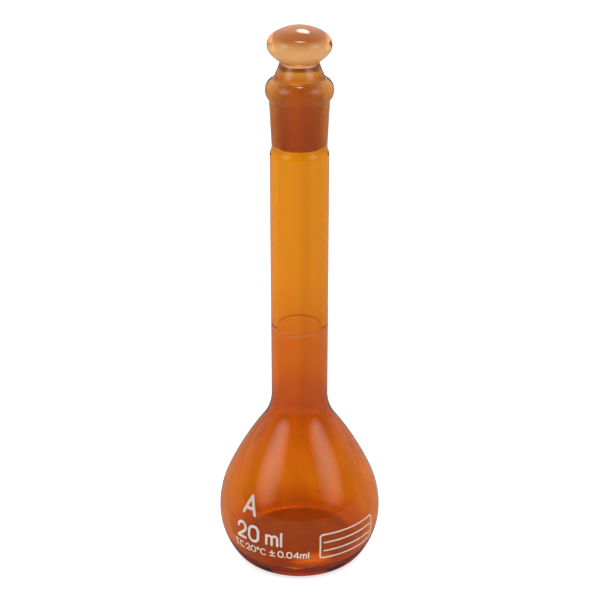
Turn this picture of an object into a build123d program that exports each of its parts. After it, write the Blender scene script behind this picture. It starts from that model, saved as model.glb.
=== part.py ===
"""Volumetric flask for 20 ml, blown in amber glass, with a ground glass stopper.

Millimetres, +Z up. The origin is the middle of the base, on the surface that the flask stands on.
The printed marks face the front, -Y.
"""

import os
from math import acos, asin, atan2, cos, degrees, hypot, radians, sin, sqrt

from build123d import *

# Bulb, outside
bulb_radius = 17.75  # at its widest
bulb_height = 10.6  # height of the widest place
base_inset = 5.4  # from the widest place in to the edge of the base
heel_radius = 2.8  # rounding from the base into the bulb
cheek_radius = 20.8  # arc that rises from the widest place
cheek_turn = 24.0  # degrees of that arc
shoulder_radius = 68.4  # flatter arc above it
foot_radius = 10.6  # hollow arc from the bulb into the neck

# Walls and base
wall = 1.26  # bulb and neck
base_thickness = 2.0
inner_heel_radius = 4.0
push_up = 0.6  # how far the middle of the underside is raised
standing_width = 1.6  # flat ring that the flask stands on

# Neck and graduation ring
neck_radius = 6.05
neck_length = 53.5
ring_above_foot = 15.7  # from where the neck begins
ring_width = 0.3
ring_depth = 0.1

# Ground socket, taper 1 in 10 on the diameter
taper = 0.05  # radius gained per millimetre of height
mouth_radius = 5.0
socket_length = 14.0
socket_wall = 1.35
socket_step = 2.0  # height over which the neck steps in to the socket
bead_overhang = 0.57  # reach of the bead beyond the socket's wall
bead_width = 2.36  # half of the bead's section, across
bead_half_height = 2.65
bead_root_radius = 0.4
lip_radius = 0.35

# Stopper
joint_clearance = 0.03  # between plug and socket, on the radius
plug_beyond_socket = 0.3  # foot of the plug below the small end of the socket
plug_stand = 0.3  # ground cone above the rim
plug_chamfer = 0.3
plug_corner_radius = 0.8
waist_radius = 3.7  # narrowest, inside the knob's underside
waist_length = 3.2  # from the ground cone up to there
waist_root_radius = 0.6
knob_radius = 6.5
knob_rim_radius = 2.5  # rounding at its widest place
knob_upper = 3.75  # knob above its widest place
knob_lower = 4.4  # knob below it
knob_lift = 6.14  # widest place of the knob, above the ground cone

# Enamel marks
enamel = 0.06  # thickness of the print
letter_reach = 1.2  # half the length of a letter's prism, which passes through the bulb's surface
letter_gap = 0.1  # between letters, as a share of their height
panel_left = 14.0  # azimuth where the writing panel begins
panel_turn = 48.0  # degrees that it spans
panel_rise = -0.6  # its middle, from the bulb's widest place
panel_height = 6.2
panel_corner = 0.9
panel_stroke = 0.32
panel_rules = 2  # ruled lines across it
rule_inset = 3.0  # degrees from the panel's edge to the end of a ruled line

# Runs of each printed mark: text, azimuth of the first letter's middle in degrees from the front
# towards +X, baseline above the bulb's widest place, letter height, stroke
printed_marks = {
    "class_mark": [("A", -39.3, 5.0, 4.5, 0.66)],
    "capacity_mark": [("20", -44.5, -0.85, 4.1, 0.6), ("ml", -19.6, -0.55, 3.5, 0.5)],
    "calibration_mark": [("TC", -50.0, -3.6, 1.85, 0.26), ("20°C", -39.4, -3.6, 1.85, 0.26)],
    "tolerance_mark": [
        ("±", -19.6, -3.35, 1.8, 0.26),
        ("0.04", -13.4, -3.35, 1.8, 0.26),
        ("ml", 2.8, -3.35, 1.8, 0.26),
    ],
}

# Sizes that follow
base_radius = bulb_radius - base_inset
heel_rise = bulb_height - heel_radius
lower_radius = (base_inset**2 + heel_rise**2 - heel_radius**2) / (2 * (base_inset - heel_radius))
shoulder_reach = shoulder_radius - cheek_radius
shoulder_centre = bulb_radius - cheek_radius - shoulder_reach * cos(radians(cheek_turn))
foot_turn = degrees(acos((neck_radius + foot_radius - shoulder_centre) / (shoulder_radius + foot_radius)))
foot_rise = (shoulder_radius + foot_radius) * sin(radians(foot_turn))
neck_foot = bulb_height - shoulder_reach * sin(radians(cheek_turn)) + foot_rise
neck_top = neck_foot + neck_length
ring_height = neck_foot + ring_above_foot
socket_foot = neck_top + socket_step
rim_height = socket_foot + socket_length
bead_height = rim_height - bead_half_height
bead_centre = mouth_radius + socket_wall + bead_overhang - bead_width
plug_foot = socket_foot - plug_beyond_socket
cone_top = rim_height + plug_stand
knob_height = cone_top + knob_lift


def socket_radius(height):
    """Radius of the ground socket's wall at a height."""
    return mouth_radius - (rim_height - height) * taper


def bulb_side(inset, floor, heel):
    """Draw the bulb's side from its floor to the neck's foot, inset from the outside; return its ends."""
    reach = lower_radius - inset - heel
    rise = bulb_height - floor - heel
    start = (bulb_radius - lower_radius + sqrt(reach**2 - rise**2), floor)
    heel_turn = 90 - degrees(asin(rise / reach))
    heel_arc = JernArc(start, (1, 0), heel, heel_turn)
    lower_arc = JernArc(heel_arc @ 1, heel_arc % 1, lower_radius - inset, 90 - heel_turn)
    cheek = JernArc(lower_arc @ 1, lower_arc % 1, cheek_radius - inset, cheek_turn)
    shoulder = JernArc(cheek @ 1, cheek % 1, shoulder_radius - inset, foot_turn - cheek_turn)
    foot = JernArc(shoulder @ 1, shoulder % 1, foot_radius + inset, -foot_turn)
    return start, foot @ 1


def neck_and_socket(foot, radius, socket_start, top):
    """Draw the upright neck, the step in to the socket and the socket's taper; return its upper end."""
    neck = Line(foot, (radius, neck_top))
    step = Spline(neck @ 1, (socket_start, socket_foot), tangents=((0, 1), (taper, 1)))
    cone = Line(step @ 1, (socket_start + (top - socket_foot) * taper, top))
    return cone @ 1


def flask_outside():
    """Half section of the flask, as if it were solid."""
    dish_radius = base_radius - standing_width
    with BuildSketch() as section:
        with BuildLine():
            start, foot = bulb_side(0, 0, heel_radius)
            socket_outside = socket_radius(socket_foot) + socket_wall
            cone_end = neck_and_socket(foot, neck_radius, socket_outside, bead_height)
            Polyline(
                cone_end,
                (bead_centre, bead_height),
                (bead_centre, rim_height),
                (0, rim_height),
                (0, push_up),
            )
            TangentArc((0, push_up), (dish_radius, 0), tangent=(1, 0))
            Line((dish_radius, 0), start)
        make_face()
        with Locations((bead_centre, bead_height)):
            Ellipse(bead_width, bead_half_height)
    return section.sketch


def flask_inside():
    """Half section of the space inside the flask."""
    with BuildSketch() as section:
        with BuildLine():
            start, foot = bulb_side(wall, base_thickness, inner_heel_radius)
            mouth = neck_and_socket(foot, neck_radius - wall, socket_radius(socket_foot), rim_height)
            Polyline(mouth, (0, rim_height), (0, base_thickness + push_up))
            TangentArc((0, base_thickness + push_up), start, tangent=(1, 0))
        make_face()
    return section.sketch


def skin_section():
    """Half section of a skin over the bulb, as thick as the enamel."""
    with BuildSketch() as section:
        with BuildLine():
            start, end = bulb_side(0, 0, heel_radius)
            outer_start, outer_end = bulb_side(-enamel, -enamel, heel_radius + enamel)
            Line(start, outer_start)
            Line(end, outer_end)
        make_face()
    return section.sketch


def knob_arc(height):
    """Radius and turn of the arc that closes the knob over its rim, as far as a height from its middle."""
    inner = knob_radius - knob_rim_radius
    turn = 2 * degrees(atan2(height - knob_rim_radius, inner))
    return knob_rim_radius + inner / sin(radians(turn)), turn


def stopper_section():
    """Half section of the stopper: ground plug, waist and lens-shaped knob."""
    foot = socket_radius(plug_foot) - joint_clearance
    cone = socket_radius(cone_top) - joint_clearance
    with BuildSketch() as section:
        with BuildLine():
            Polyline(
                (0, plug_foot),
                (foot - plug_chamfer, plug_foot),
                (foot, plug_foot + plug_chamfer),
                (cone, cone_top),
                (waist_radius, cone_top + waist_length),
                (waist_radius, knob_height),
                (0, knob_height),
                (0, plug_foot),
            )
        make_face()
        with BuildLine():
            under_radius, under_turn = knob_arc(knob_lower)
            over_radius, over_turn = knob_arc(knob_upper)
            lower_crown = JernArc((0, knob_height - knob_lower), (1, 0), under_radius, under_turn)
            rim = JernArc(lower_crown @ 1, lower_crown % 1, knob_rim_radius, 180 - under_turn - over_turn)
            upper_crown = JernArc(rim @ 1, rim % 1, over_radius, over_turn)
            Line(upper_crown @ 1, lower_crown @ 0)
        make_face()
        plug_corner = section.vertices().sort_by_distance((cone, cone_top))[0]
        fillet(plug_corner, plug_corner_radius)
        waist_root = section.vertices().sort_by_distance((waist_radius, cone_top + waist_length))[0]
        fillet(waist_root, waist_root_radius)
    return section.sketch


def surface_plane(azimuth, height):
    """Plane that touches the bulb, with its x axis level and its z axis outwards."""
    arc = lower_radius if height < bulb_height else cheek_radius
    slope = asin((height - bulb_height) / arc)
    radius = bulb_radius - arc * (1 - cos(slope))
    across = sin(radians(azimuth))
    ahead = -cos(radians(azimuth))
    return Plane(
        origin=(radius * across, radius * ahead, height),
        x_dir=(-ahead, across, 0),
        z_dir=(across * cos(slope), ahead * cos(slope), sin(slope)),
    )


def meridian_plane(azimuth):
    """Plane through the axis whose x axis points out at an azimuth from the front."""
    return Plane.XZ.rotated((0, 0, azimuth - 90))


def hoop(width, height, opening=0):
    """Draw an upright hoop on the baseline, open on its right by an angle above and below."""
    bowl = width / 2
    CenterArc((0, height - bowl), bowl, opening, 180 - opening)
    Line((-bowl, height - bowl), (-bowl, bowl))
    CenterArc((0, bowl), bowl, 180, 180 - opening)
    if not opening:
        Line((bowl, bowl), (bowl, height - bowl))


def letter_a(width, height):
    Polyline((-width / 2, 0), (0, height), (width / 2, 0))
    Line((-width * 0.35, height * 0.3), (width * 0.35, height * 0.3))


def letter_c(width, height):
    hoop(width, height, opening=35)


def letter_l(width, height):
    Line((0, 0), (0, height))


def letter_m(width, height):
    arch = width / 4
    spring_line = height * 0.72 - arch
    Line((-width / 2, 0), (-width / 2, spring_line + arch))
    for middle in (-arch, arch):
        CenterArc((middle, spring_line), arch, 0, 180)
        Line((middle + arch, spring_line), (middle + arch, 0))


def letter_t(width, height):
    Line((-width / 2, height), (width / 2, height))
    Line((0, 0), (0, height))


def digit_2(width, height):
    bowl = width / 2
    top = JernArc((-bowl, height - bowl), (0, 1), bowl, -228)
    Polyline(top @ 1, (-bowl, 0), (bowl, 0))


def digit_4(width, height):
    Polyline((width * 0.2, height), (-width / 2, height * 0.28), (width / 2, height * 0.28))
    Line((width * 0.24, height), (width * 0.24, 0))


def plus_minus(width, height):
    Line((-width / 2, 0), (width / 2, 0))
    Line((-width / 2, height * 0.58), (width / 2, height * 0.58))
    Line((0, height * 0.22), (0, height * 0.94))


def degree_sign(width, height):
    CenterArc((0, height - width / 2), width / 2, 0, 360)


def full_stop(width, height):
    Line((0, 0), (0, height * 0.02))


# Each character's drawing, and its width as a share of the letter's height
characters = {
    "A": (letter_a, 0.82),
    "C": (letter_c, 0.76),
    "T": (letter_t, 0.7),
    "l": (letter_l, 0.15),
    "m": (letter_m, 0.85),
    "0": (hoop, 0.72),
    "2": (digit_2, 0.68),
    "4": (digit_4, 0.76),
    "°": (degree_sign, 0.4),
    "±": (plus_minus, 0.72),
    ".": (full_stop, 0.15),
}


def character_prism(character, azimuth, baseline, height, stroke):
    """A prism through the bulb's surface in the shape of one character, drawn with a round pen."""
    draw, share = characters[character]
    middle = surface_plane(azimuth, baseline + height / 2)
    with BuildPart() as prism:
        with BuildSketch(Plane(middle.location * Location((0, (stroke - height) / 2, 0)))):
            with BuildLine() as skeleton:
                draw(share * height - stroke, height - stroke)
            for path in Wire.combine(skeleton.edges()):
                add(Face(path.offset_2d(stroke / 2)))
                if path.is_closed:
                    add(Face(path.offset_2d(-stroke / 2)), mode=Mode.SUBTRACT)
        extrude(amount=letter_reach, both=True)
    return prism.part


def print_run(text, azimuth, rise, height, stroke):
    """Add a run of characters, the first one centred on an azimuth and the rest to its right."""
    baseline = bulb_height + rise
    touch = surface_plane(azimuth, baseline + height / 2).origin
    radius = hypot(touch.X, touch.Y)
    widths = [characters[character][1] * height for character in text]
    along = -widths[0] / 2
    for character, width in zip(text, widths):
        middle = azimuth + degrees((along + width / 2) / radius)
        add(character_prism(character, middle, baseline, height, stroke))
        along += width + letter_gap * height


def panel_block(margin):
    """Wedge of a thick tube over the writing panel, smaller all round by a margin."""
    turn_margin = degrees(margin / bulb_radius)
    with BuildPart() as block:
        with BuildSketch(meridian_plane(panel_left + turn_margin)):
            with Locations((bulb_radius, bulb_height + panel_rise)):
                Rectangle(bulb_radius, panel_height - 2 * margin)
        revolve(axis=Axis.Z, revolution_arc=panel_turn - 2 * turn_margin)
        corners = block.edges().filter_by(GeomType.LINE).filter_by(Axis.Z, reverse=True)
        fillet(corners, panel_corner - margin)
    return block.part


with BuildPart() as flask_body:
    with BuildSketch(Plane.XZ):
        add(flask_outside())
    revolve(axis=Axis.Z)
    with BuildSketch(Plane.XZ):
        add(flask_inside())
    revolve(axis=Axis.Z, mode=Mode.SUBTRACT)
    bead_root = flask_body.edges().filter_by(GeomType.CIRCLE).sort_by(Axis.Z)[-1]
    fillet(bead_root, bead_root_radius)
    lip = flask_body.edges().filter_by(GeomType.BSPLINE).sort_by(Axis.Z)[-1]
    fillet(lip, lip_radius)
    with BuildSketch(Plane.XZ):
        with Locations((neck_radius, ring_height)):
            Rectangle(2 * ring_depth, ring_width)
    revolve(axis=Axis.Z, mode=Mode.SUBTRACT)

# Stained glass that fills the engraved groove, flush with the neck
with BuildPart() as graduation_ring:
    with BuildSketch(Plane.XZ):
        with Locations((neck_radius, ring_height)):
            Rectangle(ring_depth, ring_width, align=(Align.MAX, Align.CENTER))
    revolve(axis=Axis.Z)

with BuildPart() as stopper:
    with BuildSketch(Plane.XZ):
        add(stopper_section())
    revolve(axis=Axis.Z)

with BuildPart() as enamel_skin:
    with BuildSketch(Plane.XZ):
        add(skin_section())
    revolve(axis=Axis.Z)

with BuildPart() as writing_panel:
    add(panel_block(0))
    add(panel_block(panel_stroke), mode=Mode.SUBTRACT)
    for rule in range(1, panel_rules + 1):
        with BuildSketch(meridian_plane(panel_left + rule_inset)):
            rule_rise = panel_height * (rule / (panel_rules + 1) - 0.5)
            with Locations((bulb_radius, bulb_height + panel_rise + rule_rise)):
                Rectangle(bulb_radius, panel_stroke)
        revolve(axis=Axis.Z, revolution_arc=panel_turn - 2 * rule_inset)
    add(enamel_skin.part, mode=Mode.INTERSECT)

pieces = {
    "flask_body": flask_body,
    "graduation_ring": graduation_ring,
    "stopper": stopper,
    "writing_panel": writing_panel,
}
for name, runs in printed_marks.items():
    with BuildPart() as mark:
        for run in runs:
            print_run(*run)
        add(enamel_skin.part, mode=Mode.INTERSECT)
    pieces[name] = mark

os.makedirs("parts", exist_ok=True)
for name, piece in pieces.items():
    piece.part.label = name
    export_step(piece.part, f"parts/{name}.step")
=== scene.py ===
"""Looks of a volumetric flask in amber-stained glass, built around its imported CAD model.

Metres, +Z up. The printed marks face -Y. Glass sections are drawn in millimetres and turned about Z.
"""

from math import acos, asin, atan2, cos, degrees, hypot, pi, radians, sin, sqrt

import bpy
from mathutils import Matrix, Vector


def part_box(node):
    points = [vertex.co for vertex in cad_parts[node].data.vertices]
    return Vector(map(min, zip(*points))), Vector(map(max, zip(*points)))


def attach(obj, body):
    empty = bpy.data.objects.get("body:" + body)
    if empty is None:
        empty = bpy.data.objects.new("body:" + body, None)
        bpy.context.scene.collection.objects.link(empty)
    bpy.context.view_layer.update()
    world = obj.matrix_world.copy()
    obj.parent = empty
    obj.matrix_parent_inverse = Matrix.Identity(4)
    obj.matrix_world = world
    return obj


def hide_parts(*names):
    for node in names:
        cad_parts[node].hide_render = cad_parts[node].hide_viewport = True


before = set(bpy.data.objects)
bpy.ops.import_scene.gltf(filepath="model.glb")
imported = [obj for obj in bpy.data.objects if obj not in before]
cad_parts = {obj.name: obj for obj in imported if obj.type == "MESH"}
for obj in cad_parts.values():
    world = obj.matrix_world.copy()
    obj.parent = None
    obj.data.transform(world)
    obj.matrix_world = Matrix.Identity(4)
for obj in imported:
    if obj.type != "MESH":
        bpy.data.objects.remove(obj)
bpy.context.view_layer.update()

MM = 0.001

# ---------------------------------------------------------------- sizes in millimetres, from the frame
flask_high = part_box("flask_body")[1] / MM
stopper_low, stopper_high = (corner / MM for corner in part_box("stopper"))
ring_low, ring_high = (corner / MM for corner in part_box("graduation_ring"))

BULB_RADIUS = flask_high.x
NECK_RADIUS = ring_high.x
RING_Z = (ring_low.z + ring_high.z) / 2
KNOB_RADIUS = stopper_high.x
PLUG_FOOT = stopper_low.z
TOP = stopper_high.z

# Bulb
BULB_Z = 10.6  # height of the widest place
BASE_INSET = 5.4
HEEL = 2.8
INNER_HEEL = 4.0
CHEEK = 20.8
CHEEK_TURN = 24.0
SHOULDER = 68.4
FOOT = 10.6
WALL = 1.26
BASE_THICKNESS = 2.0
PUSH_UP = 0.6
STANDING_WIDTH = 1.6

# Neck, engraved ring and ground socket
NECK_LENGTH = 53.5
RING_WIDTH = 0.32
RING_DEPTH = 0.04  # shallower than the CAD groove, whose steep sides would look dark
TAPER = 0.05
MOUTH_RADIUS = 5.0
SOCKET_LENGTH = 14.0
SOCKET_WALL = 1.35
SOCKET_STEP = 2.0
BEAD_OVERHANG = 0.57
BEAD_WIDTH = 2.36
BEAD_HALF_HEIGHT = 2.65
BEAD_ROOT = 0.4
LIP = 0.35

# Stopper
CLEARANCE = 0.03
PLUG_STAND = 0.3
PLUG_CHAMFER = 0.3
PLUG_CORNER = 0.8
WAIST_RADIUS = 3.7
WAIST_LENGTH = 3.2
WAIST_ROOT = 0.6
KNOB_RIM = 2.5
KNOB_UPPER = 3.75
KNOB_LOWER = 4.4

# Sizes that follow
BASE_RADIUS = BULB_RADIUS - BASE_INSET
HEEL_RISE = BULB_Z - HEEL
LOWER = (BASE_INSET**2 + HEEL_RISE**2 - HEEL**2) / (2 * (BASE_INSET - HEEL))
SHOULDER_REACH = SHOULDER - CHEEK
SHOULDER_CENTRE = BULB_RADIUS - CHEEK - SHOULDER_REACH * cos(radians(CHEEK_TURN))
FOOT_TURN = degrees(acos((NECK_RADIUS + FOOT - SHOULDER_CENTRE) / (SHOULDER + FOOT)))
NECK_FOOT = (
    BULB_Z
    - SHOULDER_REACH * sin(radians(CHEEK_TURN))
    + (SHOULDER + FOOT) * sin(radians(FOOT_TURN))
)
NECK_TOP = NECK_FOOT + NECK_LENGTH
SOCKET_FOOT = NECK_TOP + SOCKET_STEP
RIM_Z = SOCKET_FOOT + SOCKET_LENGTH
BEAD_Z = RIM_Z - BEAD_HALF_HEIGHT
BEAD_CENTRE = MOUTH_RADIUS + SOCKET_WALL + BEAD_OVERHANG - BEAD_WIDTH
CONE_TOP = RIM_Z + PLUG_STAND
KNOB_Z = TOP - KNOB_UPPER

# ---------------------------------------------------------------- mesh detail
SEGMENTS = 240  # round the axis
STEP = 0.45  # longest run between two points of a section
TURN_STEP = 3.0  # degrees, longest turn between two points of an arc
SMALL_ARC_STEPS = 8  # points on the smallest roundings
HALVINGS = 60  # of the interval in which a tangent point is sought


class Section:
    """A half section drawn with a moving pen: points (radius, height) and the surface that each run has."""

    def __init__(self, start, heading):
        self.points = [start]
        self.surfaces = []
        self.heading = heading

    def add_point(self, point, surface):
        self.points.append(point)
        self.surfaces.append(surface)

    def line(self, end, surface):
        """Straight to a point."""
        (r, z), (r_end, z_end) = self.points[-1], end
        length = hypot(r_end - r, z_end - z)
        count = max(1, round(length / STEP))
        for i in range(1, count + 1):
            self.add_point((r + (r_end - r) * i / count, z + (z_end - z) * i / count), surface)
        self.heading = degrees(atan2(z_end - z, r_end - r))
        return self

    def arc(self, radius, turn, surface):
        """Arc that starts along the heading; a positive turn is to the left."""
        r, z = self.points[-1]
        side = 1 if turn > 0 else -1
        normal = radians(self.heading + 90 * side)
        centre = (r + radius * cos(normal), z + radius * sin(normal))
        count = max(2, round(max(abs(turn) / TURN_STEP, radius * radians(abs(turn)) / STEP)))
        for i in range(1, count + 1):
            angle = normal + pi + radians(turn) * i / count
            self.add_point((centre[0] + radius * cos(angle), centre[1] + radius * sin(angle)), surface)
        self.heading += turn
        return self

    def curve(self, end, end_heading, surface):
        """Smooth curve to a point, leaving along the heading and arriving along another."""
        (r, z), (r_end, z_end) = self.points[-1], end
        reach = hypot(r_end - r, z_end - z)
        leave = [reach * f(radians(self.heading)) for f in (cos, sin)]
        arrive = [reach * f(radians(end_heading)) for f in (cos, sin)]
        count = max(6, round(reach / STEP * 2))
        for i in range(1, count + 1):
            t = i / count
            weights = (2 * t**3 - 3 * t**2 + 1, t**3 - 2 * t**2 + t, 3 * t**2 - 2 * t**3, t**3 - t**2)
            point = [
                sum(w * v for w, v in zip(weights, values))
                for values in ((r, leave[0], r_end, arrive[0]), (z, leave[1], z_end, arrive[1]))
            ]
            self.add_point(tuple(point), surface)
        self.heading = end_heading
        return self


def lathe(name, section, materials, close=False):
    """Turn a section about Z into a closed smooth mesh with one material for each surface number."""
    verts, rings = [], []
    for r, z in section.points:
        if r < 1e-6:
            rings.append([len(verts)])
            verts.append((0.0, 0.0, z * MM))
        else:
            rings.append([len(verts) + i for i in range(SEGMENTS)])
            for i in range(SEGMENTS):
                angle = 2 * pi * i / SEGMENTS
                verts.append((r * MM * cos(angle), r * MM * sin(angle), z * MM))
    pairs = list(zip(rings, rings[1:], section.surfaces))
    if close:
        pairs.append((rings[-1], rings[0], section.surfaces[-1]))
    faces, surfaces = [], []
    for low, high, surface in pairs:
        for i in range(SEGMENTS):
            j = (i + 1) % SEGMENTS
            if len(low) == 1:
                faces.append((low[0], high[j], high[i]))
            elif len(high) == 1:
                faces.append((low[i], low[j], high[0]))
            else:
                faces.append((low[i], low[j], high[j], high[i]))
            surfaces.append(surface)
    mesh = bpy.data.meshes.new(name)
    mesh.from_pydata(verts, [], faces)
    for material in materials:
        mesh.materials.append(material)
    mesh.polygons.foreach_set("material_index", surfaces)
    mesh.shade_smooth()
    mesh.validate()
    piece = bpy.data.objects.new(name, mesh)
    bpy.context.scene.collection.objects.link(piece)
    return piece


# ---------------------------------------------------------------- sections
CLEAR, STAINED, GROUND = range(3)


def socket_radius(height):
    """Radius of the ground socket's wall at a height."""
    return MOUTH_RADIUS - (RIM_Z - height) * TAPER


def bulb_start(inset, floor, heel):
    """Where the floor meets the heel's arc, and the heel's turn."""
    reach = LOWER - inset - heel
    rise = BULB_Z - floor - heel
    return (BULB_RADIUS - LOWER + sqrt(reach**2 - rise**2), floor), 90 - degrees(asin(rise / reach))


def dish_arc(edge):
    """Radius and turn of the arc of the raised middle of the base, from its edge to the axis."""
    radius = (edge**2 + PUSH_UP**2) / (2 * PUSH_UP)
    return radius, degrees(asin(edge / radius))


def flask_section():
    """Outside of the flask from the middle of its base up to the lip, then the inside down again."""
    section = Section((0, PUSH_UP), 0)
    start, heel_turn = bulb_start(0, 0, HEEL)
    dish_radius, dish_turn = dish_arc(BASE_RADIUS - STANDING_WIDTH)
    section.arc(dish_radius, -dish_turn, STAINED)
    section.line(start, STAINED)
    section.arc(HEEL, heel_turn, STAINED)
    section.arc(LOWER, 90 - heel_turn, STAINED)
    section.arc(CHEEK, CHEEK_TURN, STAINED)
    section.arc(SHOULDER, FOOT_TURN - CHEEK_TURN, STAINED)
    section.arc(FOOT, -FOOT_TURN, STAINED)
    section.line((NECK_RADIUS, RING_Z - RING_WIDTH / 2), STAINED)
    section.curve((NECK_RADIUS - RING_DEPTH, RING_Z), 90, STAINED)
    section.curve((NECK_RADIUS, RING_Z + RING_WIDTH / 2), 90, STAINED)
    section.line((NECK_RADIUS, NECK_TOP), STAINED)
    cone_heading = 90 - degrees(atan2(TAPER, 1))
    section.curve((socket_radius(SOCKET_FOOT) + SOCKET_WALL, SOCKET_FOOT), cone_heading, STAINED)
    draw_bead(section, cone_heading)
    section.line((socket_radius(SOCKET_FOOT), SOCKET_FOOT), GROUND)
    section.curve((NECK_RADIUS - WALL, NECK_TOP), -90, CLEAR)
    section.line((NECK_RADIUS - WALL, NECK_FOOT), CLEAR)
    section.arc(FOOT + WALL, FOOT_TURN, CLEAR)
    section.arc(SHOULDER - WALL, CHEEK_TURN - FOOT_TURN, CLEAR)
    section.arc(CHEEK - WALL, -CHEEK_TURN, CLEAR)
    inner_start, inner_turn = bulb_start(WALL, BASE_THICKNESS, INNER_HEEL)
    section.arc(LOWER - WALL, inner_turn - 90, CLEAR)
    section.arc(INNER_HEEL, -inner_turn, CLEAR)
    dish_radius, dish_turn = dish_arc(inner_start[0])
    section.heading = 180 - dish_turn
    section.arc(dish_radius, dish_turn, CLEAR)
    section.points[-1] = (0.0, BASE_THICKNESS + PUSH_UP)
    return section


def draw_bead(section, cone_heading):
    """The bead round the mouth, from its root under the cone's end over to the inside of the lip."""
    foot_radius = socket_radius(SOCKET_FOOT) + SOCKET_WALL

    def cone_at(height):
        return foot_radius + (height - SOCKET_FOOT) * TAPER

    def bead_at(angle, offset=0.0):
        """Point on the bead's oval, or off it along the normal, at a parameter angle."""
        r = BEAD_CENTRE + BEAD_WIDTH * cos(angle)
        z = BEAD_Z + BEAD_HALF_HEIGHT * sin(angle)
        normal = (cos(angle) / BEAD_WIDTH, sin(angle) / BEAD_HALF_HEIGHT)
        size = hypot(*normal)
        return r + offset * normal[0] / size, z + offset * normal[1] / size

    # The root's arc touches both the cone and the oval: find where the oval's offset is as far off the cone.
    slope = hypot(1, TAPER)
    low, high = -pi / 2, 0.0
    for _ in range(HALVINGS):
        angle = (low + high) / 2
        r, z = bead_at(angle, BEAD_ROOT)
        if (r - cone_at(z)) / slope < BEAD_ROOT:
            low = angle
        else:
            high = angle
    centre = bead_at(angle, BEAD_ROOT)
    touch = (centre[0] - BEAD_ROOT / slope, centre[1] + BEAD_ROOT * TAPER / slope)
    section.line(touch, STAINED)
    end = bead_at(angle)
    leave = radians(180 - degrees(atan2(TAPER, 1)))
    arrive = atan2(end[1] - centre[1], end[0] - centre[0])
    for i in range(1, SMALL_ARC_STEPS + 1):
        a = leave + ((arrive - leave + pi) % (2 * pi) - pi) * i / SMALL_ARC_STEPS
        section.add_point((centre[0] + BEAD_ROOT * cos(a), centre[1] + BEAD_ROOT * sin(a)), STAINED)

    # Over the oval to the lip's rounding, which ends on the ground socket.
    lip_low, lip_high = 0.0, pi / 2
    for _ in range(HALVINGS):
        lip_angle = (lip_low + lip_high) / 2
        r, z = bead_at(lip_angle, -LIP)
        if r - socket_radius(z) > LIP * slope:
            lip_low = lip_angle
        else:
            lip_high = lip_angle
    count = round(degrees(lip_angle - angle) / TURN_STEP)
    for i in range(1, count + 1):
        section.add_point(bead_at(angle + (lip_angle - angle) * i / count), STAINED)
    centre = bead_at(lip_angle, -LIP)
    top = section.points[-1]
    leave = atan2(top[1] - centre[1], top[0] - centre[0])
    arrive = radians(180 - degrees(atan2(-TAPER, 1)))
    for i in range(1, SMALL_ARC_STEPS + 1):
        a = leave + ((arrive - leave) % (2 * pi)) * i / SMALL_ARC_STEPS
        section.add_point((centre[0] + LIP * cos(a), centre[1] + LIP * sin(a)), STAINED)


def knob_arc(height):
    """Radius and turn of the arc that closes the knob over its rim, as far as a height from its middle."""
    inner = KNOB_RADIUS - KNOB_RIM
    turn = 2 * degrees(atan2(height - KNOB_RIM, inner))
    return KNOB_RIM + inner / sin(radians(turn)), turn


def stopper_section():
    """Ground plug, waist and lens-shaped knob, from the plug's foot to the top."""
    foot = socket_radius(PLUG_FOOT) - CLEARANCE
    cone = socket_radius(CONE_TOP) - CLEARANCE
    section = Section((0, PLUG_FOOT), 0)
    section.line((foot - PLUG_CHAMFER, PLUG_FOOT), CLEAR)
    section.line((foot, PLUG_FOOT + PLUG_CHAMFER), GROUND)
    # Rounded corner between the ground cone and the waist
    up = 90 - degrees(atan2(TAPER, 1))
    waist_heading = 90 + degrees(atan2(cone - WAIST_RADIUS, WAIST_LENGTH))
    turn = waist_heading - up
    cut = PLUG_CORNER * sin(radians(turn / 2)) / cos(radians(turn / 2))
    section.line((cone - cut * cos(radians(up)), CONE_TOP - cut * sin(radians(up))), GROUND)
    section.arc(PLUG_CORNER, turn, STAINED)
    # Waist, with a rounded root under the knob
    under_radius, under_turn = knob_arc(KNOB_LOWER)
    over_radius, over_turn = knob_arc(KNOB_UPPER)
    crown_z = KNOB_Z - KNOB_LOWER + under_radius
    direction = (cos(radians(waist_heading)), sin(radians(waist_heading)))
    outward = (direction[1], -direction[0])
    origin = (cone + outward[0] * WAIST_ROOT, CONE_TOP + outward[1] * WAIST_ROOT)
    along = origin[0] * direction[0] + (origin[1] - crown_z) * direction[1]
    off = hypot(origin[0], origin[1] - crown_z)
    travel = -along - sqrt(along**2 - off**2 + (under_radius + WAIST_ROOT) ** 2)
    centre = (origin[0] + travel * direction[0], origin[1] + travel * direction[1])
    section.line((centre[0] - outward[0] * WAIST_ROOT, centre[1] - outward[1] * WAIST_ROOT), STAINED)
    root_angle = degrees(atan2(centre[1] - crown_z, centre[0]))
    section.heading = waist_heading
    section.arc(WAIST_ROOT, root_angle + 90 - waist_heading, STAINED)
    # Lens-shaped knob
    section.arc(under_radius, under_turn - (root_angle + 90), STAINED)
    section.arc(KNOB_RIM, 180 - under_turn - over_turn, STAINED)
    section.arc(over_radius, over_turn, STAINED)
    section.points[-1] = (0.0, TOP)
    return section


def ring_section():
    """Stain that fills the engraved ring, just inside the neck's surface."""
    gap = 0.006
    low, high = RING_Z - RING_WIDTH / 2 + 2 * gap, RING_Z + RING_WIDTH / 2 - 2 * gap
    section = Section((NECK_RADIUS - gap, low), 90)
    section.curve((NECK_RADIUS - gap / 2, RING_Z), 90, 0)
    section.curve((NECK_RADIUS - gap, high), 90, 0)
    section.curve((NECK_RADIUS - RING_DEPTH + gap, RING_Z), -90, 0)
    section.curve((NECK_RADIUS - gap, low), -90, 0)
    section.points.pop()
    return section


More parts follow.
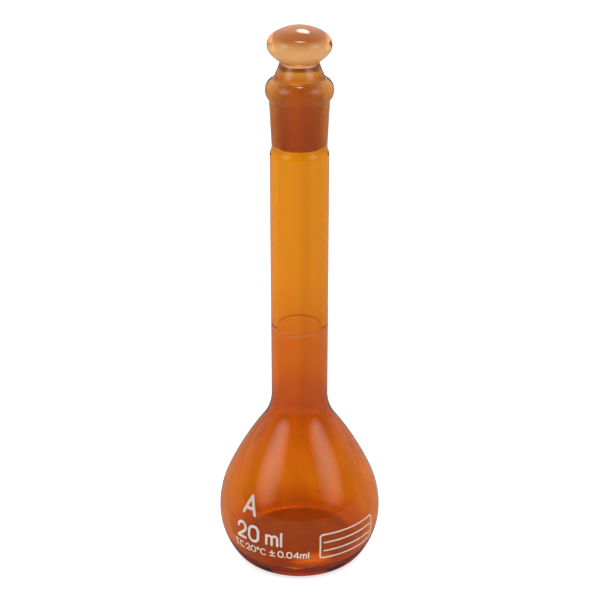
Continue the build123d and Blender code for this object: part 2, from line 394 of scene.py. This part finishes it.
# ---------------------------------------------------------------- materials
def new_material(name):
    """A material with its node tree and its shader."""
    material = bpy.data.materials.new(name)
    material.use_nodes = True
    nodes, links = material.node_tree.nodes, material.node_tree.links
    return material, nodes, links, nodes["Principled BSDF"]


def coordinates(nodes, links, scale):
    """Object coordinates, scaled."""
    where = nodes.new("ShaderNodeTexCoord")
    mapping = nodes.new("ShaderNodeMapping")
    mapping.inputs["Scale"].default_value = scale
    links.new(where.outputs["Object"], mapping.inputs["Vector"])
    return mapping.outputs["Vector"]


def noise(nodes, links, scale, size=1.0, detail=2.0):
    """Noise whose scale differs along the axes."""
    texture = nodes.new("ShaderNodeTexNoise")
    texture.inputs["Scale"].default_value = size
    texture.inputs["Detail"].default_value = detail
    links.new(coordinates(nodes, links, scale), texture.inputs["Vector"])
    return texture.outputs["Fac"]


def mapped(nodes, links, value, low, high, from_low=0.3, from_high=0.7):
    """A value spread over a new range."""
    node = nodes.new("ShaderNodeMapRange")
    node.inputs["From Min"].default_value = from_low
    node.inputs["From Max"].default_value = from_high
    node.inputs["To Min"].default_value = low
    node.inputs["To Max"].default_value = high
    links.new(value, node.inputs["Value"])
    return node.outputs["Result"]


def ramp_by_height(nodes, links, stops):
    """Colour by height above the base, from (height in millimetres, colour) stops."""
    where = nodes.new("ShaderNodeTexCoord")
    split = nodes.new("ShaderNodeSeparateXYZ")
    links.new(where.outputs["Object"], split.inputs["Vector"])
    height = mapped(nodes, links, split.outputs["Z"], 0, 1, 0, TOP * MM)
    ramp = nodes.new("ShaderNodeValToRGB")
    elements = ramp.color_ramp.elements
    for element in list(elements)[1:]:
        elements.remove(element)
    for i, (z, colour) in enumerate(stops):
        element = elements[0] if i == 0 else elements.new(z / TOP)
        element.position = z / TOP
        element.color = (*colour, 1)
    links.new(height, ramp.inputs["Fac"])
    return ramp.outputs["Color"]


def scaled_colour(nodes, links, colour, factor):
    """A colour times a grey value."""
    node = nodes.new("ShaderNodeVectorMath")
    node.operation = "SCALE"
    links.new(colour, node.inputs[0])
    links.new(factor, node.inputs["Scale"])
    return node.outputs["Vector"]


def bump(nodes, links, height, distance):
    """A bump from a height value, with its depth in metres."""
    node = nodes.new("ShaderNodeBump")
    node.inputs["Distance"].default_value = distance
    links.new(height, node.inputs["Height"])
    return node.outputs["Normal"]


GLASS_IOR = 1.47


def glass(name, stops, rough=(0.01, 0.03), ripple=0.00002, grain=None):
    """Glass: a colour by height with drawn streaks, and a surface with slight ripples or ground grain; the
    stops hold stain, and for the flask's base and the knob also painted shade and highlight.
    """
    material, nodes, links, shader = new_material(name)
    shader.inputs["Transmission Weight"].default_value = 1.0
    shader.inputs["IOR"].default_value = GLASS_IOR
    streaks = mapped(nodes, links, noise(nodes, links, (250, 250, 6), detail=1.0), 1.07, 0.88)
    colour = scaled_colour(nodes, links, ramp_by_height(nodes, links, stops), streaks)
    links.new(colour, shader.inputs["Base Color"])
    patches = noise(nodes, links, (150, 150, 150))
    links.new(mapped(nodes, links, patches, *rough), shader.inputs["Roughness"])
    if grain:
        links.new(
            bump(nodes, links, noise(nodes, links, (grain, grain, grain), detail=3.0), ripple),
            shader.inputs["Normal"],
        )
    else:
        waves = noise(nodes, links, (220, 220, 60), detail=1.0)
        links.new(bump(nodes, links, waves, ripple), shader.inputs["Normal"])
    return material


# Colour of light that has gone in and out through the stain, by height in millimetres; below 4 mm it is
# darkened as painted shade from under the flask's base, and higher up it grows darker and lighter in bands
# by height
FLASK_STAIN_AND_BASE_SHADE = [
    (0, (0.38, 0.022, 0.001)),
    (0.7, (0.38, 0.022, 0.001)),
    (1.5, (0.26, 0.018, 0.001)),
    (4, (0.36, 0.042, 0.001)),
    (6, (0.47, 0.090, 0.001)),
    (9, (0.52, 0.120, 0.001)),
    (20, (0.53, 0.122, 0.001)),
    (31, (0.43, 0.070, 0.001)),
    (38, (0.34, 0.042, 0.001)),
    (44, (0.48, 0.090, 0.001)),
    (53.5, (0.50, 0.102, 0.001)),
    (56, (0.55, 0.145, 0.001)),
    (66, (0.60, 0.190, 0.001)),
    (93, (0.61, 0.210, 0.001)),
    (95, (0.50, 0.112, 0.010)),
    (103, (0.60, 0.190, 0.020)),
    (108, (0.74, 0.320, 0.080)),
]
CLEAR_GLASS = [(0, (0.98, 0.97, 0.95)), (118, (0.98, 0.97, 0.95))]
PLUG_STAIN = [(93, (0.72, 0.34, 0.08)), (108, (0.74, 0.36, 0.09))]
# Amber stain of the knob and waist by height in millimetres, with painted light standing in for refraction
# bands: the pale band at 109.6 to 110.4 mm across the waist and the lighter band round 115.3 mm are painted
# highlight, and the dark bands at 111 to 111.8 mm under the knob and 116.4 to 117.3 mm near its top are
# painted shade
KNOB_STAIN_AND_PAINTED_BANDS = [
    (93, (0.62, 0.22, 0.03)),
    (108.6, (0.66, 0.27, 0.02)),
    (109.6, (0.95, 0.66, 0.26)),
    (110.4, (0.98, 0.85, 0.60)),
    (111.0, (0.36, 0.10, 0.02)),
    (111.8, (0.40, 0.12, 0.03)),
    (112.9, (0.68, 0.33, 0.11)),
    (115.3, (0.80, 0.44, 0.18)),
    (116.4, (0.36, 0.10, 0.02)),
    (117.3, (0.32, 0.08, 0.02)),
    (118, (0.52, 0.20, 0.07)),
]

GROUND_ROUGHNESS = (0.44, 0.54)
GROUND_DEPTH = 0.00001  # metres
GROUND_GRAIN = 9000

# the flask's outside carries the stain and, at its base and heel, painted shade
amber = glass("amber_stain_and_painted_base_shade", FLASK_STAIN_AND_BASE_SHADE)
inside = glass("clear_glass_inside", CLEAR_GLASS)
ground = glass("ground_glass", CLEAR_GLASS, GROUND_ROUGHNESS, GROUND_DEPTH, GROUND_GRAIN)
ground_plug = glass("ground_amber_glass", PLUG_STAIN, GROUND_ROUGHNESS, GROUND_DEPTH, GROUND_GRAIN)
knob_glass = glass("knob_stain_and_painted_bands_glass", KNOB_STAIN_AND_PAINTED_BANDS, ripple=0.00028)


def enamel_material():
    """White fired enamel: slightly uneven, with a soft gloss."""
    material, nodes, links, shader = new_material("white_fired_enamel")
    tone = mapped(nodes, links, noise(nodes, links, (1500, 1500, 1500)), 0.92, 1.0)
    paper = nodes.new("ShaderNodeCombineColor")
    paper.inputs["Red"].default_value = 0.95
    paper.inputs["Green"].default_value = 0.87
    paper.inputs["Blue"].default_value = 0.79
    links.new(scaled_colour(nodes, links, paper.outputs["Color"], tone), shader.inputs["Base Color"])
    shader.inputs["Roughness"].default_value = 0.45
    shader.inputs["Transmission Weight"].default_value = 0.25
    grain = noise(nodes, links, (5000, 5000, 5000))
    links.new(bump(nodes, links, grain, 0.00001), shader.inputs["Normal"])
    return material


def ring_material():
    """Pale stain rubbed into the engraved line, which lets some light through."""
    material, nodes, links, shader = new_material("graduation_stain")
    tone = mapped(nodes, links, noise(nodes, links, (900, 900, 900)), 0.9, 1.1)
    pale = nodes.new("ShaderNodeCombineColor")
    pale.inputs["Red"].default_value = 0.95
    pale.inputs["Green"].default_value = 0.60
    pale.inputs["Blue"].default_value = 0.20
    links.new(scaled_colour(nodes, links, pale.outputs["Color"], tone), shader.inputs["Base Color"])
    shader.inputs["Transmission Weight"].default_value = 0.9
    shader.inputs["Roughness"].default_value = 0.5
    return material


# ---------------------------------------------------------------- pieces
flask = lathe("flask_glass", flask_section(), [inside, amber, ground])
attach(flask, "flask")
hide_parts("flask_body")

# the knob and waist carry painted highlight and shade bands in their colour
stopper = lathe("stopper_glass", stopper_section(), [knob_glass, knob_glass, ground_plug])
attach(stopper, "stopper")
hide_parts("stopper")

ring = lathe("graduation_line", ring_section(), [ring_material()], close=True)
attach(ring, "flask")
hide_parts("graduation_ring")

enamel = enamel_material()
for node in ("class_mark", "capacity_mark", "calibration_mark", "tolerance_mark", "writing_panel"):
    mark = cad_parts[node]
    mark.data.materials.clear()
    mark.data.materials.append(enamel)

# ---------------------------------------------------------------- floor, light and camera
FLOOR_SIZE = 8.0
FLOOR_GAP = 0.00004  # metres; the standing ring and the floor would otherwise lie in one plane
FLOOR_GLOW = 1.0
REFLECTED_GLOW = 0.0
PAINTED_SHADOW_GLOW = 0.5  # share of the glow left under the flask's base, a painted shadow there
GLOW_EDGE = 1.25  # base radii from the middle at which the glow is full again


def make_floor():
    """A large plain pale floor, lit like a light table: less under the flask as a painted shadow under its
    base, not in glossy reflections.
    """
    half = FLOOR_SIZE / 2
    mesh = bpy.data.meshes.new("floor")
    corners = [(x * half, y * half, -FLOOR_GAP) for x, y in ((-1, -1), (1, -1), (1, 1), (-1, 1))]
    mesh.from_pydata(corners, [], [(0, 1, 2, 3)])
    floor = bpy.data.objects.new("floor", mesh)
    bpy.context.scene.collection.objects.link(floor)
    material, nodes, links, shader = new_material("pale_floor")
    tone = mapped(nodes, links, noise(nodes, links, (4, 4, 4)), 0.44, 0.46)
    white = nodes.new("ShaderNodeCombineColor")
    for channel in ("Red", "Green", "Blue"):
        white.inputs[channel].default_value = 1.0
    links.new(scaled_colour(nodes, links, white.outputs["Color"], tone), shader.inputs["Base Color"])
    shader.inputs["Roughness"].default_value = 0.9
    shader.inputs["Emission Color"].default_value = (1, 1, 1, 1)
    path = nodes.new("ShaderNodeLightPath")
    mirrored = nodes.new("ShaderNodeMath")
    mirrored.operation = "MULTIPLY"
    links.new(path.outputs["Is Reflection Ray"], mirrored.inputs[0])
    links.new(path.outputs["Is Glossy Ray"], mirrored.inputs[1])
    seen = mapped(nodes, links, mirrored.outputs["Value"], FLOOR_GLOW, REFLECTED_GLOW, 0, 1)
    where = nodes.new("ShaderNodeTexCoord")
    away = nodes.new("ShaderNodeVectorMath")
    away.operation = "LENGTH"
    links.new(where.outputs["Object"], away.inputs[0])
    base = BASE_RADIUS * MM
    # painted shadow: the glow is cut to a share under the flask's base and rises to full at GLOW_EDGE base
    # radii
    painted_shadow_mask = mapped(nodes, links, away.outputs["Value"], PAINTED_SHADOW_GLOW, 1.0, base, GLOW_EDGE * base)
    glow = nodes.new("ShaderNodeMath")
    glow.operation = "MULTIPLY"
    links.new(seen, glow.inputs[0])
    links.new(painted_shadow_mask, glow.inputs[1])
    links.new(glow.outputs["Value"], shader.inputs["Emission Strength"])
    mesh.materials.append(material)


def aim(thing, target):
    """Turn a lamp or camera to look at a point."""
    thing.rotation_mode = "QUATERNION"
    thing.rotation_quaternion = (Vector(target) - thing.location).to_track_quat("-Z", "Y")


LAMP_CENTRE = 1.6  # strength in the middle of a lamp
LAMP_FADE = (0.1, 0.5)  # from full to none, in shares of its size from the middle


def softbox(name, place, size, power, target=(0, 0, 0.05)):
    """A rectangular soft lamp that is brightest in its middle."""
    light = bpy.data.lights.new(name, "AREA")
    light.shape = "RECTANGLE"
    light.size, light.size_y = size
    light.energy = power
    light.use_nodes = True
    nodes, links = light.node_tree.nodes, light.node_tree.links
    where = nodes.new("ShaderNodeNewGeometry")
    middle = nodes.new("ShaderNodeVectorMath")
    middle.operation = "DISTANCE"
    middle.inputs[1].default_value = (0.5, 0.5, 0)
    links.new(where.outputs["Parametric"], middle.inputs[0])
    fade = mapped(nodes, links, middle.outputs["Value"], LAMP_CENTRE, 0.0, *LAMP_FADE)
    links.new(fade, nodes["Emission"].inputs["Strength"])
    lamp = bpy.data.objects.new(name, light)
    lamp.location = place
    bpy.context.scene.collection.objects.link(lamp)
    aim(lamp, target)


make_floor()
softbox("softbox_left", (-0.62, -0.38, 0.45), (0.80, 0.80), 3.3)
softbox("softbox_right", (0.62, -0.38, 0.45), (0.80, 0.80), 3.0)
softbox("softbox_back", (0.08, 0.60, 0.75), (0.30, 0.30), 3.0, target=(0, 0, 0.1))
softbox("softbox_over", (0.0, -0.15, 0.90), (0.34, 0.20), 1.6, target=(0, 0, 0.1))

# A plain pale backdrop all round; what the glass mirrors is light behind the flask and darker in front
BACKDROP = (1.08, 1.08, 1.08)
DARK_SIDE = (0.06, 0.06, 0.065)
LIGHT_SIDE = (0.62, 0.63, 0.64)
world = bpy.data.worlds.new("studio")
bpy.context.scene.world = world
world.use_nodes = True
nodes, links = world.node_tree.nodes, world.node_tree.links
direction = nodes.new("ShaderNodeTexCoord")
parts = nodes.new("ShaderNodeSeparateXYZ")
links.new(direction.outputs["Generated"], parts.inputs["Vector"])
backness = mapped(nodes, links, parts.outputs["Y"], 0, 1, -0.1, 0.7)
blend = nodes.new("ShaderNodeMix")
blend.data_type = "RGBA"
blend.inputs["A"].default_value = (*DARK_SIDE, 1)
blend.inputs["B"].default_value = (*LIGHT_SIDE, 1)
links.new(backness, blend.inputs["Factor"])
ray = nodes.new("ShaderNodeLightPath")
backdrop = nodes.new("ShaderNodeMix")
backdrop.data_type = "RGBA"
backdrop.inputs["A"].default_value = (*BACKDROP, 1)
links.new(blend.outputs["Result"], backdrop.inputs["B"])
links.new(ray.outputs["Is Reflection Ray"], backdrop.inputs["Factor"])
links.new(backdrop.outputs["Result"], nodes["Background"].inputs["Color"])
nodes["Background"].inputs["Strength"].default_value = 1.0

LENS = 86.3  # millimetres, on a sensor 36 mm wide
CAMERA_DISTANCE = 0.30315
CAMERA_PITCH = 23.3  # degrees down
AIM_HEIGHT = 0.06011

camera = bpy.data.objects.new("camera", bpy.data.cameras.new("camera"))
camera.data.lens = LENS
camera.data.sensor_width = 36
camera.data.shift_x = 0.0008
camera.data.clip_start = 0.01
camera.location = (
    0,
    -CAMERA_DISTANCE * cos(radians(CAMERA_PITCH)),
    AIM_HEIGHT + CAMERA_DISTANCE * sin(radians(CAMERA_PITCH)),
)
bpy.context.scene.collection.objects.link(camera)
aim(camera, (0, 0, AIM_HEIGHT))
bpy.context.scene.camera = camera

scene = bpy.context.scene
scene.view_settings.view_transform = "Standard"
scene.view_settings.look = "None"
scene.cycles.max_bounces = 24
scene.cycles.transmission_bounces = 24
scene.cycles.glossy_bounces = 8
